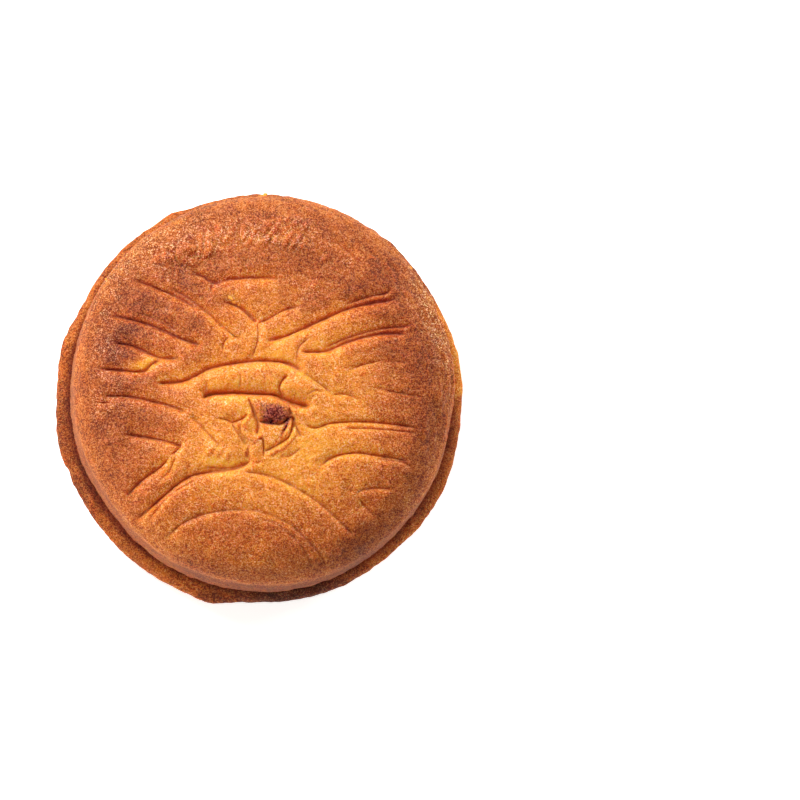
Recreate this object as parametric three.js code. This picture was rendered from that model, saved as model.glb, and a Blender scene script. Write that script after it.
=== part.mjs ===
// A whole baked mooncake of one solid piece: a domed round cake with a creased crown, a
// nearly straight wall, and an uneven foot of crust that squeezed out round its flat base.
// Millimetres, +Z up. The origin is the centre of the base, and the creased crown faces up.
import * as THREE from "three";

// ---- driving dimensions -----------------------------------------------------------------

const HEIGHT = 41; // the crown's smooth form above the base, without its raised rolls
const BODY_RADIUS = 34.2; // foot of the wall
const FOOT_RADIUS = 36.3; // the crust that squeezed out round the base
const CROWN_RADIUS = 27; // where the crown turns down into the shoulder
const CROWN_FALL = 2.8; // how far the crown drops from its top to the shoulder
const SHOULDER_DROP = 7.7; // height of the rounded shoulder
const WALL_DRAFT = 0.5; // how much narrower the wall is under the shoulder
const GROOVE_HEIGHT = 7.2; // the groove between the wall and the foot
const GROOVE_DEPTH = 0.7; // how far that groove goes in behind the wall
const GROOVE_WAVE = 0.9; // how far the groove wanders up and down round the cake
const FOOT_HEIGHT = 4; // the widest part of the foot
const BASE_INSET = 1.7; // how far the flat base stays inside the foot
const OVAL = 0.01; // share by which the body is longer along Y and shorter along X
const CROWN_LUMPS = 0.22; // height of the broad swells of the crown
const WALL_LUMPS = 0.15; // depth of the broad swells of the wall
const FOOT_RIPPLE = 0.12; // depth of the even ripple of the foot
const ROUND_SHARE = 0.6; // how much rounder than the body the foot is, as a share of its oval
const WALL_STARTS = [20, 34]; // where in the net the swells of the wall come in
const CREASES_END = [31, 36]; // where in the net the creases run out over the shoulder

// ---- profile, from the crown's top to the rim of the flat base ---------------------------

const v2 = (x, y) => new THREE.Vector2(x, y);

const crownEnd = v2(CROWN_RADIUS, HEIGHT - CROWN_FALL);
const wallTop = v2(BODY_RADIUS - WALL_DRAFT, crownEnd.y - SHOULDER_DROP);
const wallFoot = v2(BODY_RADIUS, GROOVE_HEIGHT + 2);
const groove = v2(BODY_RADIUS - GROOVE_DEPTH, GROOVE_HEIGHT);
const footEdge = v2(FOOT_RADIUS, FOOT_HEIGHT);
const baseEdge = v2(FOOT_RADIUS - BASE_INSET, 0);

// Each stretch of the profile with the width that its ring takes in the flat net.
const STRETCHES = [
  {
    curve: new THREE.QuadraticBezierCurve(
      v2(0, HEIGHT),
      v2(crownEnd.x / 2, HEIGHT),
      crownEnd,
    ),
    width: CROWN_RADIUS,
  },
  {
    curve: new THREE.CubicBezierCurve(
      crownEnd,
      v2(crownEnd.x + 3.3, crownEnd.y - 0.68),
      v2(wallTop.x, wallTop.y + 3.9),
      wallTop,
    ),
    width: 8,
  },
  {
    curve: new THREE.QuadraticBezierCurve(
      wallTop,
      v2(BODY_RADIUS + 0.1, (wallTop.y + wallFoot.y) / 2),
      wallFoot,
    ),
    width: 8,
  },
  {
    curve: new THREE.QuadraticBezierCurve(
      wallFoot,
      v2(BODY_RADIUS, GROOVE_HEIGHT + 0.4),
      groove,
    ),
    width: 2,
  },
  {
    curve: new THREE.CubicBezierCurve(
      groove,
      v2(groove.x + 1, GROOVE_HEIGHT - 0.2),
      v2(FOOT_RADIUS, FOOT_HEIGHT + 1.9),
      footEdge,
    ),
    width: 4,
  },
  {
    curve: new THREE.CubicBezierCurve(
      footEdge,
      v2(FOOT_RADIUS, FOOT_HEIGHT - 2),
      v2(baseEdge.x + 0.9, 0.2),
      baseEdge,
    ),
    width: 4,
  },
];
const netWidth = (stretches) => stretches.reduce((sum, { width }) => sum + width, 0);
const NET_RADIUS = netWidth(STRETCHES);
const SHOULDER_END = netWidth(STRETCHES.slice(0, 2)); // where the wall begins in the net

// Radius, height and outward normal of the profile at a distance from the net's centre.
function profileAt(reach) {
  let start = 0;
  for (const { curve, width } of STRETCHES) {
    if (reach <= start + width || start + width === NET_RADIUS) {
      const t = Math.min((reach - start) / width, 1);
      const point = curve.getPoint(t);
      const along = curve.getTangent(t);
      return { r: point.x, z: point.y, normal: v2(-along.y, along.x) };
    }
    start += width;
  }
}

// ---- the uneven outline of the foot and the wall -----------------------------------------

// Swells and dents of the foot: the middle angle, the half width in degrees, the height.
const FOOT_SWELLS = [
  [256, 6, 0.8],
  [236, 20, 0.6],
  [201, 2, -0.45],
  [198, 8, 0.65],
  [189, 7, 0.5],
  [165, 6, 0.4],
  [153, 7, -0.3],
  [116, 4, 0.5],
  [80, 16, 0.3],
  [335, 18, 0.25],
];
const WALL_SWELLS = [ // of the wall, in the same way
  [216, 17, -0.75],
  [350, 11, -0.5],
];

function swellAt(angle, swells) {
  const degrees = THREE.MathUtils.radToDeg(angle);
  return swells.reduce((sum, [middle, halfWidth, height]) => {
    const away = THREE.MathUtils.euclideanModulo(degrees - middle + 180, 360) - 180;
    return sum + height * Math.exp(-((away / halfWidth) ** 2));
  }, 0);
}

// ---- the creases of the crown ------------------------------------------------------------

// A crease is a smooth line through its points, seen from above. Its bed is a valley, scaled
// by the stated depth, with the reach of its left and right slope, and it runs out over the
// stated length at each end.
function crease(depth, left, right, points, fade = [2, 2]) {
  const curve = new THREE.SplineCurve(points.map(([x, y]) => v2(x, y)));
  const length = curve.getLength();
  const beads = curve.getSpacedPoints(Math.ceil(length / 0.9));
  const box = new THREE.Box2().setFromPoints(beads);
  box.expandByScalar(SWALE_REACH * Math.max(left, right));
  return { depth, left, right, beads, length, fade, box };
}

const CUT_SHARE = 0.4; // the depth of the cut in the bed of a crease, as a share of its depth
const SWALE_REACH = 2.5; // the soft swale beside a crease, in reaches of its slopes
const SWALE_SHARE = 0.8; // the depth of that swale, as a share of the crease's depth

const CREASES = [
  // upper left fan, from the rim towards the centre
  crease(0.75, 0.9, 0.8, [
    [-23, 18.8], [-20.9, 18.1], [-17.8, 16.8], [-14.8, 15.4], [-11.7, 13.5],
  ], [2, 1.5]),
  crease(0.65, 0.7, 0.7, [
    [-16.9, 17.7], [-15.5, 16.8], [-13.6, 15.6], [-11.3, 13.9], [-9.1, 12.1], [-6.8, 9.9],
    [-4.2, 7.8],
  ]),
  crease(0.85, 1, 0.9, [
    [-27.4, 12.7], [-24.4, 12.1], [-20, 10.8], [-14.8, 8.5], [-11.3, 7.3],
  ], [2, 0.6]),
  crease(0.35, 0.5, 0.4, [[-22.1, 13], [-20.7, 12.6], [-18.8, 11.6], [-17.3, 10.9], [-14.8, 9.4]]),
  crease(0.5, 1.1, 0.8, [[-14.1, 8.3], [-12.9, 7.6], [-11.2, 7.4]], [1, 1]),
  crease(0.5, 0.6, 0.6, [[-13.4, 8.1], [-12, 7.1], [-12.6, 6.1]], [0.8, 1]),
  crease(0.3, 0.5, 0.5, [[-12, 6.8], [-11.3, 5.5], [-10.3, 4.3]]),
  crease(0.9, 0.9, 0.8, [[-27, 7.8], [-23.5, 7.3], [-20, 5.7], [-17.8, 5], [-14.5, 5]]),
  crease(0.9, 0.9, 0.9, [[-29.3, 3.3], [-24.9, 2.9], [-21.3, 2.7], [-19.7, 4], [-17.4, 5]]),
  crease(0.45, 0.5, 0.9, [[-7.5, 5.7], [-7.2, 7.8], [-6, 8.7]], [1, 1]),

  // the long fold above the middle roll, and its tails to the right
  crease(1.1, 1.5, 0.9, [
    [-19.5, 0.5], [-14.3, 1], [-10.3, 2.9], [-7.2, 3.8], [-0.6, 4.5], [4, 4], [7.1, 2.2],
  ]),
  crease(0.5, 0.6, 0.7, [[6.1, 2.9], [9.2, 0.7], [12.3, -1.6]]),
  crease(0.4, 0.6, 0.6, [[10.9, -1.6], [13.9, -1.3], [17.2, -2.5]]),
  crease(0.3, 0.5, 0.6, [[6.6, -1.8], [8.7, -0.7], [10.9, -1.3]]),

  // the three-way fold above the centre, and the arc over it
  crease(1, 1.1, 0.9, [[-7.7, 14.9], [-4.4, 13.9], [-1.4, 11.1]], [2, 0.6]),
  crease(0.65, 1, 0.9, [[-1.4, 11.1], [0.5, 11.8], [3.3, 13.4], [6.4, 14.2]], [0.6, 2]),
  crease(0.45, 0.8, 0.8, [[-1.4, 11.3], [-1.3, 8.1], [-2.6, 4.3]], [0.6, 2]),
  crease(0.75, 1.1, 0.8, [
    [-13.1, 20.1], [-10.8, 19.3], [-8.9, 18.1], [-6.1, 18.8], [-1.3, 19.1], [2.9, 18.9],
  ]),
  crease(0.5, 0.8, 0.6, [[-9.1, 18.1], [-9.4, 17], [-9.8, 15.6]], [0.6, 2]),
  crease(0.35, 0.6, 0.7, [[1, 20.7], [0.7, 19.1], [-0.9, 16.8]]),
  crease(0.25, 0.5, 0.7, [[-4.4, 18.6], [-4.4, 16.1]]),
  crease(0.45, 0.8, 0.6, [[9.9, 25.7], [12.3, 25.4], [14.8, 23.6], [17.5, 21.2]]),

  // upper right fan
  crease(1.05, 1.4, 0.8, [
    [-0.2, 7.8], [4, 9], [9.2, 11.4], [13.9, 13.5], [18.6, 14.8], [23.1, 15.5],
  ]),
  crease(0.6, 0.9, 0.45, [[13.4, 14.2], [17.9, 15.8], [21.4, 16.7], [22.2, 18.1]]),
  crease(1, 1.5, 0.8, [[5.7, 6.1], [10.4, 6.2], [14.8, 8], [20.3, 9.4], [25.4, 9.4]]),
  crease(0.6, 0.9, 0.45, [[9.9, 6.6], [14.8, 8.7], [20, 10.2], [24.7, 10.8], [25.9, 11.8]]),
  crease(0.4, 0.7, 0.6, [[8.3, 9], [5.9, 6.9], [5.4, 3.6]]),
  crease(0.4, 0.6, 0.7, [[14.1, 2.7], [17.5, 4], [21, 4.8]]),
  crease(0.25, 0.5, 0.5, [[21, 4.7], [25.5, 4.3]]),
  crease(0.35, 0.5, 0.6, [[18.6, 0.1], [22.1, -0.7], [27.3, -1.6]]),

  // left side
  crease(0.8, 0.8, 0.8, [[-28.7, -1.6], [-24.4, -1.6], [-20, -2.5], [-16.2, -3.5], [-13.3, -4.9]]),
  crease(0.6, 0.6, 0.5, [[-30.1, -2.7], [-28, -2.7], [-26, -2.8]]),
  crease(0.8, 0.9, 0.9, [[-24.9, -8.2], [-20.4, -8.9], [-16.9, -9.6], [-14.3, -10.6]], [2, 0.6]),
  crease(0.6, 0.7, 0.7, [[-14.5, -9.4], [-15.2, -11], [-16.6, -12]], [1, 1]),
  crease(0.55, 0.8, 0.8, [[-13.3, -4.7], [-10.6, -7.5], [-7.5, -10.8]]),
  crease(0.8, 0.9, 0.9, [[-24.6, -19.5], [-21.3, -16.2], [-18.3, -14.1], [-16.2, -11.9]]),
  crease(0.4, 0.6, 0.6, [[-18.7, -16.6], [-16.6, -14.7], [-15.2, -11.5]]),

  // the two arcs below the centre
  crease(0.9, 0.9, 0.8, [
    [-22.8, -23.4], [-20, -21.1], [-14.1, -16.2], [-10.3, -15], [-5.1, -14.3], [-1.9, -12.7],
  ]),
  crease(0.4, 0.4, 0.5, [[-20.6, -23.7], [-16.6, -19], [-12, -16.2]]),
  crease(0.6, 1.3, 0.7, [[-10.8, -14.1], [-5.8, -14.1], [-1.9, -12.7]]),
  crease(0.55, 0.7, 0.7, [[-4.4, -14.7], [0.5, -15.5], [5.4, -17.6], [10.6, -21.1], [16.1, -26.3]]),
  crease(0.42, 0.7, 0.7, [
    [-17.8, -26.8], [-14.1, -23.7], [-9.6, -22], [-4.4, -21.4], [0.1, -22], [4.3, -23.9],
    [7.1, -26.3], [9.5, -28.9], [10.9, -31.2],
  ]),
  crease(0.3, 0.6, 0.6, [[0.7, -28.6], [1.4, -30.1], [2.9, -31.9]]),

  // right side
  crease(0.65, 0.7, 0.7, [[6.6, -6.5], [8.8, -7.2], [12, -6.3], [18.6, -6.1], [26.8, -7]]),
  crease(0.45, 0.5, 0.5, [[13.5, -7.2], [19.6, -7.3], [26.6, -7.9]]),
  crease(0.7, 0.8, 0.8, [[9.2, -14.3], [11.6, -12.4], [15.5, -11.5], [20.3, -12], [25.5, -12.9]]),
  crease(0.4, 0.4, 0.5, [[18.6, -12.4], [24.2, -13.1], [25.9, -14.5]]),
  crease(0.45, 0.7, 0.6, [[15.6, -19], [16.8, -18], [20, -17.6], [22.9, -18]]),
  crease(0.45, 0.6, 0.7, [[16, -19], [17.5, -20.7], [19.6, -22.7]]),

  // the deep fold under the middle roll, and the roll's cross folds
  crease(1.7, 1.4, 0.8, [
    [-11.2, -2.1], [-9.4, -1.3], [-5.8, -1.1], [-1.3, -1.3], [1.7, -1.5], [4.3, -2.6], [6.8, -3.3],
    [8.3, -3.3],
  ], [1, 1.5]),
  crease(0.75, 0.4, 0.9, [[4.1, 1.9], [3.3, 1.5], [2.5, -0.2], [3.4, -1.9]], [0.8, 0.6]),
  crease(0.35, 0.5, 0.5, [[-4.5, 3.3], [-4.2, 0.5], [-4.5, -0.7]]),
  crease(0.3, 0.6, 0.4, [[-0.4, 3.3], [0.2, -0.2]]),

  // the folds round the sunken centre
  crease(0.65, 0.9, 0.6, [
    [-8.6, -5.4], [-6.6, -5.9], [-5.8, -6.3], [-3.7, -5.5], [-3, -4.7],
  ], [1, 0.5]),
  crease(0.8, 0.4, 1.2, [[-2.9, -1.9], [-1.9, -4.5], [-1.2, -6.5], [-1.4, -8.6]], [0.5, 0.6]),
  crease(0.9, 0.5, 0.35, [[-1.3, -6.1], [0.7, -6.3], [2.7, -6.5], [4.3, -5.4]], [0.6, 0.4]),
  crease(0.4, 0.4, 0.35, [[4.5, -5.1], [4, -6.5], [2.8, -8.6]], [0.5, 0.8]),
  crease(0.6, 0.35, 0.35, [
    [4.8, -4.9], [4.8, -6.5], [4.1, -8.8], [2.3, -10], [-0.3, -11.5],
  ], [0.5, 0.8]),
  crease(0.7, 0.6, 0.5, [[4.9, -5.1], [5.3, -6.6], [6.6, -9.3]], [0.6, 1.5]),
  crease(0.45, 0.6, 0.5, [[-5.8, -6.5], [-4.1, -9], [-2.6, -10.6]], [0.5, 1]),
];

// Raised rolls beside the folds, made as creases are, with a negative depth.
const ROLLS = [
  crease(-0.35, 0.9, 0.9, [[-9.1, 1.4], [-4.2, 1.9], [1.2, 1.7]]),
  crease(-0.6, 0.75, 0.75, [[4.7, 1.7], [6.9, -0.2], [8.8, -1.8]]),
  crease(-0.45, 0.7, 0.7, [[-8.4, -3.3], [-4.4, -3.7]]),
  crease(-0.45, 0.45, 0.45, [[-1.8, -10.1], [-1.9, -12]], [0.8, 0.8]),
  crease(-0.5, 0.9, 0.9, [[-0.2, -3.7], [2.6, -3.7]], [1, 1]),
];

// The scorched sunken spots.
const PITS = [
  { x: 1.1, y: -5.9, radius: 0.9, depth: 1.2 },
  { x: 2.6, y: -5.3, radius: 0.5, depth: 0.5 },
];

const square = (value) => value * value;
const hump = (u) => (u < 1 ? square(1 - u) : 0); // falls from 1 at a sharp line to 0
const swell = (u) => (u < 1 ? square(1 - u * u) : 0); // falls from 1 at a round top to 0
const smooth = THREE.MathUtils.smoothstep;

// The depth that one line takes away at a point of the crown seen from above.
function bedDepth(line, x, y) {
  const { beads, box } = line;
  if (x < box.min.x || x > box.max.x || y < box.min.y || y > box.max.y) return 0;
  let nearest = Infinity;
  let along = 0;
  let side = 0;
  for (let i = 0; i + 1 < beads.length; i++) {
    const [a, b] = [beads[i], beads[i + 1]];
    const [dx, dy] = [b.x - a.x, b.y - a.y];
    const share = ((x - a.x) * dx + (y - a.y) * dy) / (dx * dx + dy * dy);
    const t = THREE.MathUtils.clamp(share, 0, 1);
    const away = Math.hypot(x - a.x - t * dx, y - a.y - t * dy);
    if (away < nearest) {
      nearest = away;
      along = (i + t) / (beads.length - 1);
      side = dx * (y - a.y) - dy * (x - a.x);
    }
  }
  const u = nearest / (side > 0 ? line.left : line.right);
  const valley = CUT_SHARE * hump(u) + SWALE_SHARE * hump(u / SWALE_REACH);
  const bed = line.depth < 0 ? swell(u / SWALE_REACH) : valley;
  const start = smooth(along * line.length, -0.2, line.fade[0]);
  const end = smooth((1 - along) * line.length, -0.2, line.fade[1]);
  return line.depth * bed * start * end;
}

// The height of the crown's relief above its smooth form.
function relief(x, y) {
  let sharpness = 0;
  for (const line of CREASES) sharpness += square(bedDepth(line, x, y));
  let height = -Math.sqrt(sharpness);
  for (const line of ROLLS) height -= bedDepth(line, x, y);
  for (const pit of PITS) {
    height -= pit.depth * hump(Math.hypot(x - pit.x, y - pit.y) / pit.radius);
  }
  return height + CROWN_LUMPS * Math.sin(0.21 * x + 0.9) * Math.cos(0.26 * y - 0.4);
}

// ---- the surface -------------------------------------------------------------------------

// The point of the crust that belongs to a point of the flat net.
function crust({ x, y }) {
  const reach = Math.min(Math.hypot(x, y), NET_RADIUS);
  const angle = Math.atan2(y, x);
  const { r, z, normal } = profileAt(reach);
  const footShare = smooth(GROOVE_HEIGHT - z, 0, GROOVE_HEIGHT - FOOT_HEIGHT);
  let radius = r * (1 - OVAL * Math.cos(2 * angle) * (1 - ROUND_SHARE * footShare));
  radius += footShare * (FOOT_RIPPLE * Math.sin(9 * angle) + swellAt(angle, FOOT_SWELLS));
  const onWall = (1 - footShare) * smooth(reach, ...WALL_STARTS);
  radius += onWall * (WALL_LUMPS * Math.sin(5 * angle + 2) + swellAt(angle, WALL_SWELLS));
  const [cos, sin] = [Math.cos(angle), Math.sin(angle)];
  const top = 1 - smooth(reach, ...CREASES_END);
  const lift = top > 0 ? top * relief(radius * cos, radius * sin) : 0;
  radius += normal.x * lift;
  const low = smooth(z, 0, FOOT_HEIGHT) * (1 - smooth(z, GROOVE_HEIGHT, wallTop.y));
  const wave = GROOVE_WAVE * low * Math.sin(3 * angle + 0.6) * Math.cos(4 * angle);
  return new THREE.Vector3(radius * cos, radius * sin, z + wave + normal.y * lift);
}

// ---- the net: triangles that are halved until they follow the surface -------------------

const MOST_TRIANGLES = 11300; // of the net, without the flat base
const LONGEST_EDGE = 4.2; // no edge in the net stays longer than this
const FIRST_FLAW = 2; // mm2, misfit times length, of the first round of halving
const FLAW_STEP = 0.93; // how much stricter each further round is
const FOOT_WEIGHT = 0.15; // how much less a flaw counts on the wall and the foot
const CUT_SHARES = [0.5, 0.45, 0.55, 0.4, 0.6, 0.35, 0.65, 0.3, 0.7]; // places to cut an edge
const CUT_PULL = 0.4; // mm of depth that outweigh a cut at an edge's very end

const netPoints = [];
const crustPoints = [];
const triangles = new Map(); // number of a triangle -> its corners, longest edge first
const ownerOfEdge = new Map(); // "from to" -> number of the triangle on that edge's left
let nextTriangle = 0;
const flaws = new Map(); // number of a triangle -> how badly it needs to be halved

function addPoint(point) {
  netPoints.push(point);
  crustPoints.push(crust(point));
  return netPoints.length - 1;
}

// A total order of edges, so that halving always ends.
function edgeRank(a, b) {
  const length = netPoints[a].distanceTo(netPoints[b]);
  return length + 1e-7 * (Math.min(a, b) / (Math.max(a, b) + 1));
}

function addTriangle(a, b, c) {
  const ranks = [edgeRank(a, b), edgeRank(b, c), edgeRank(c, a)];
  const first = ranks.indexOf(Math.max(...ranks));
  const corners = [a, b, c, a, b].slice(first, first + 3);
  const id = nextTriangle++;
  triangles.set(id, corners);
  corners.forEach((from, i) => ownerOfEdge.set(`${from} ${corners[(i + 1) % 3]}`, id));
  flaws.set(id, flawOf(corners));
}

function removeTriangle(id) {
  flaws.delete(id);
  const corners = triangles.get(id);
  corners.forEach((from, i) => ownerOfEdge.delete(`${from} ${corners[(i + 1) % 3]}`));
  triangles.delete(id);
}

// Where an edge is cut in two: near its middle, in the bed of a crease if one crosses there.
function cutPoint(a, b) {
  let best = netPoints[a].clone().lerp(netPoints[b], 0.5);
  if (best.length() > SHOULDER_END) return best;
  let lowest = Infinity;
  for (const share of CUT_SHARES) {
    const point = netPoints[a].clone().lerp(netPoints[b], share);
    const height = relief(point.x, point.y) + CUT_PULL * Math.abs(share - 0.5);
    if (height < lowest) [lowest, best] = [height, point];
  }
  return best;
}

// Halves a triangle across its longest edge, with the neighbour that shares that edge.
function halve(id) {
  const [a, b, c] = triangles.get(id);
  let neighbour = ownerOfEdge.get(`${b} ${a}`);
  while (neighbour !== undefined && triangles.get(neighbour)[0] !== b) {
    halve(neighbour);
    neighbour = ownerOfEdge.get(`${b} ${a}`);
  }
  const middle = cutPoint(a, b);
  if (neighbour === undefined) middle.setLength(NET_RADIUS);
  const m = addPoint(middle);
  removeTriangle(id);
  addTriangle(a, m, c);
  addTriangle(m, b, c);
  if (neighbour === undefined) return;
  const d = triangles.get(neighbour)[2];
  removeTriangle(neighbour);
  addTriangle(b, m, d);
  addTriangle(m, a, d);
}

// Where a triangle is compared with the crust, as weights of its corners.
const PROBES = [[1, 1, 1], [1, 1, 0], [0, 1, 1], [1, 0, 1], [2, 1, 1], [1, 2, 1], [1, 1, 2]];

// How badly a triangle fits: its worst distance to the crust times its longest edge.
function flawOf(corners) {
  const length = netPoints[corners[0]].distanceTo(netPoints[corners[1]]);
  if (length > LONGEST_EDGE) return Infinity;
  let worst = 0;
  for (const probe of PROBES) {
    const sum = probe[0] + probe[1] + probe[2];
    const net = v2(0, 0);
    const flat = new THREE.Vector3();
    corners.forEach((corner, i) => {
      net.addScaledVector(netPoints[corner], probe[i] / sum);
      flat.addScaledVector(crustPoints[corner], probe[i] / sum);
    });
    worst = Math.max(worst, crust(net).distanceTo(flat));
  }
  const onWall = netPoints[corners[0]].length() > SHOULDER_END;
  return worst * length * (onWall ? FOOT_WEIGHT : 1);
}

function netGeometry() {
  const hub = addPoint(v2(0, 0));
  const sixth = Math.PI / 3;
  const corner = (i) => v2(Math.cos(i * sixth), Math.sin(i * sixth)).setLength(NET_RADIUS);
  const rim = Array.from({ length: 6 }, (_, i) => addPoint(corner(i)));
  rim.forEach((from, i) => addTriangle(hub, from, rim[(i + 1) % 6]));

  for (let limit = FIRST_FLAW; triangles.size < MOST_TRIANGLES; limit *= FLAW_STEP) {
    for (const id of [...triangles.keys()]) {
      if (flaws.get(id) > limit && triangles.size < MOST_TRIANGLES) halve(id);
    }
  }

  // The flat base: each edge without a neighbour is joined to the middle of the base.
  const faces = [...triangles.values()];
  const middle = crustPoints.length;
  for (const corners of triangles.values()) {
    corners.forEach((from, i) => {
      const to = corners[(i + 1) % 3];
      if (!ownerOfEdge.has(`${to} ${from}`)) faces.push([to, from, middle]);
    });
  }
  const geometry = new THREE.BufferGeometry().setFromPoints([
    ...crustPoints,
    new THREE.Vector3(0, 0, 0),
  ]);
  geometry.setIndex(faces.flat());
  geometry.computeVertexNormals();
  return geometry;
}

// ---- the part ----------------------------------------------------------------------------

const crustMaterial = new THREE.MeshStandardMaterial({
  color: 0xca7641,
  roughness: 0.62,
  metalness: 0,
});

const mooncake = new THREE.Mesh(netGeometry(), crustMaterial);
mooncake.name = "mooncake";

const group = new THREE.Group();
group.add(mooncake);

export default group;
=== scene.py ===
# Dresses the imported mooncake: a finely creased and browned crust over the plain solid, a few
# crumbs on it, a pale floor, soft studio light and a camera that looks down on the crown.
# Metres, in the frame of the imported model: the crown faces +Z and the base lies at z = 0.
import math

import bmesh
import bpy
import numpy as np
from mathutils import Matrix, Vector, noise


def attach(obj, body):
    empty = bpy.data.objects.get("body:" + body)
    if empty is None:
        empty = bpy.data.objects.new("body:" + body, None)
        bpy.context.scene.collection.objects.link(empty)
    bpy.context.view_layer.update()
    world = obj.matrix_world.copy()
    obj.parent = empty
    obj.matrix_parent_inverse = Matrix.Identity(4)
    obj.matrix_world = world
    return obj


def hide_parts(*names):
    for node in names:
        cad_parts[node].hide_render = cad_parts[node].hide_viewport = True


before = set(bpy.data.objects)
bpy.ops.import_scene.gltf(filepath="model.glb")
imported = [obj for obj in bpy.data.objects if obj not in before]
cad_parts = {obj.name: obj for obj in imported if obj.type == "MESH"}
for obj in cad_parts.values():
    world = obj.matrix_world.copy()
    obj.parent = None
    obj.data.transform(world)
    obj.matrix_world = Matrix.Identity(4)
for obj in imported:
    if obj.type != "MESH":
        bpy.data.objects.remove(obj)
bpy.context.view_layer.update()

MM = 0.001

# ---- driving dimensions, in millimetres, as in the solid

HEIGHT = 41  # the crown's smooth form above the base, without its raised rolls
BODY_RADIUS = 34.2  # foot of the wall
FOOT_RADIUS = 36.3  # the crust that squeezed out round the base
CROWN_RADIUS = 27.0  # where the crown turns down into the shoulder
CROWN_FALL = 2.8  # how far the crown drops from its top to the shoulder
SHOULDER_DROP = 7.7  # height of the rounded shoulder
WALL_DRAFT = 0.5  # how much narrower the wall is under the shoulder
GROOVE_HEIGHT = 7.2  # the groove between the wall and the foot
GROOVE_DEPTH = 0.7  # how far that groove goes in behind the wall
GROOVE_WAVE = 0.9  # how far the groove wanders up and down round the cake
FOOT_HEIGHT = 4.0  # the widest part of the foot
BASE_INSET = 1.7  # how far the flat base stays inside the foot
OVAL = 0.01  # how much longer the body is along Y, and shorter along X, as a share
CROWN_LUMPS = 0.22  # height of the broad swells of the crown
WALL_LUMPS = 0.15  # depth of the broad swells of the wall
FOOT_RIPPLE = 0.12  # depth of the even ripple of the foot
ROUND_SHARE = 0.6  # how much less oval than the body the foot is, as a share
WALL_STARTS = (20, 34)  # where in the net the swells of the wall come in
CREASES_END = (31, 36)  # where in the net the creases run out over the shoulder

# ---- profile, from the crown's top to the rim of the flat base

crown_end = (CROWN_RADIUS, HEIGHT - CROWN_FALL)
wall_top = (BODY_RADIUS - WALL_DRAFT, crown_end[1] - SHOULDER_DROP)
wall_foot = (BODY_RADIUS, GROOVE_HEIGHT + 2)
groove = (BODY_RADIUS - GROOVE_DEPTH, GROOVE_HEIGHT)
foot_edge = (FOOT_RADIUS, FOOT_HEIGHT)
base_edge = (FOOT_RADIUS - BASE_INSET, 0)

# Each stretch of the profile: its width in the flat net, and its control points.
STRETCHES = [
    (CROWN_RADIUS, [(0, HEIGHT), (crown_end[0] / 2, HEIGHT), crown_end]),
    (8, [
        crown_end, (crown_end[0] + 3.3, crown_end[1] - 0.68),
        (wall_top[0], wall_top[1] + 3.9), wall_top,
    ]),
    (8, [wall_top, (BODY_RADIUS + 0.1, (wall_top[1] + wall_foot[1]) / 2), wall_foot]),
    (2, [wall_foot, (BODY_RADIUS, GROOVE_HEIGHT + 0.4), groove]),
    (4, [groove, (groove[0] + 1, GROOVE_HEIGHT - 0.2), (FOOT_RADIUS, FOOT_HEIGHT + 1.9), foot_edge]),
    (4, [foot_edge, (FOOT_RADIUS, FOOT_HEIGHT - 2), (base_edge[0] + 0.9, 0.2), base_edge]),
]
# Where each stretch ends in the net, from the net's centre.
ends = np.cumsum([width for width, _ in STRETCHES])
_, SHOULDER_END, WALL_END, GROOVE_END, FOOT_END, NET_RADIUS = ends


def bezier(controls, t):
    """The points of a Bezier curve at t, and its unit tangents there."""
    rows = [np.array(c, float)[None, :] for c in controls]
    t = t[:, None]
    while len(rows) > 2:
        rows = [a * (1 - t) + b * t for a, b in zip(rows, rows[1:])]
    along = rows[1] - rows[0]
    along = along / np.linalg.norm(along, axis=1, keepdims=True)
    return rows[0] * (1 - t) + rows[1] * t, along


def profile_at(reach):
    """Radius, height and outward normal of the profile at distances from the net's centre."""
    r, z = np.zeros_like(reach), np.zeros_like(reach)
    normal = np.zeros((len(reach), 2))
    start = 0
    for width, controls in STRETCHES:
        here = (reach >= start) & (reach <= start + width + 1e-6)
        points, along = bezier(controls, np.clip((reach[here] - start) / width, 0, 1))
        r[here], z[here] = points[:, 0], points[:, 1]
        normal[here] = np.stack([-along[:, 1], along[:, 0]], axis=1)
        start += width
    return r, z, normal


def smooth(x, low, high):
    """A soft step from 0 at low to 1 at high."""
    t = np.clip((x - low) / (high - low), 0, 1)
    return t * t * (3 - 2 * t)


def polar(points):
    """Each point's distance from the middle, seen from above, and its angle."""
    return np.hypot(points[:, 0], points[:, 1]), np.arctan2(points[:, 1], points[:, 0])


# ---- the uneven outline of the foot and the wall

# Swells and dents of the foot: the middle angle, the half width in degrees, the height.
FOOT_SWELLS = [
    (256, 6, 0.8), (236, 20, 0.6), (201, 2, -0.45), (198, 8, 0.65), (189, 7, 0.5),
    (165, 6, 0.4), (153, 7, -0.3), (116, 4, 0.5), (80, 16, 0.3), (335, 18, 0.25),
]
# Dents of the wall, in the same way.
WALL_SWELLS = [(216, 17, -0.75), (350, 11, -0.5)]


def swell_at(angle, swells):
    """How far the swells and dents push the outline out at each angle."""
    degrees = np.degrees(angle)
    total = np.zeros_like(angle)
    for middle, half_width, height in swells:
        away = (degrees - middle + 180) % 360 - 180
        total += height * np.exp(-((away / half_width) ** 2))
    return total


# ---- the creases of the crown

CUT_REACH = 0.5  # of the sharp cut in a crease, as a share of its slopes' reach
CUT_SHARE = 0.4  # of the crease's depth
SWALE_REACH = 2.5  # of the soft swale beside it, in the same way
SWALE_SHARE = 0.8  # of the crease's depth
SPAN_STEPS = 12  # points along each span of a crease, before they are evened out
BEAD_STEP = 0.4  # distance between the points that a crease is measured at
FADE_START = -0.2  # where a crease begins to come in, off its end


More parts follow.
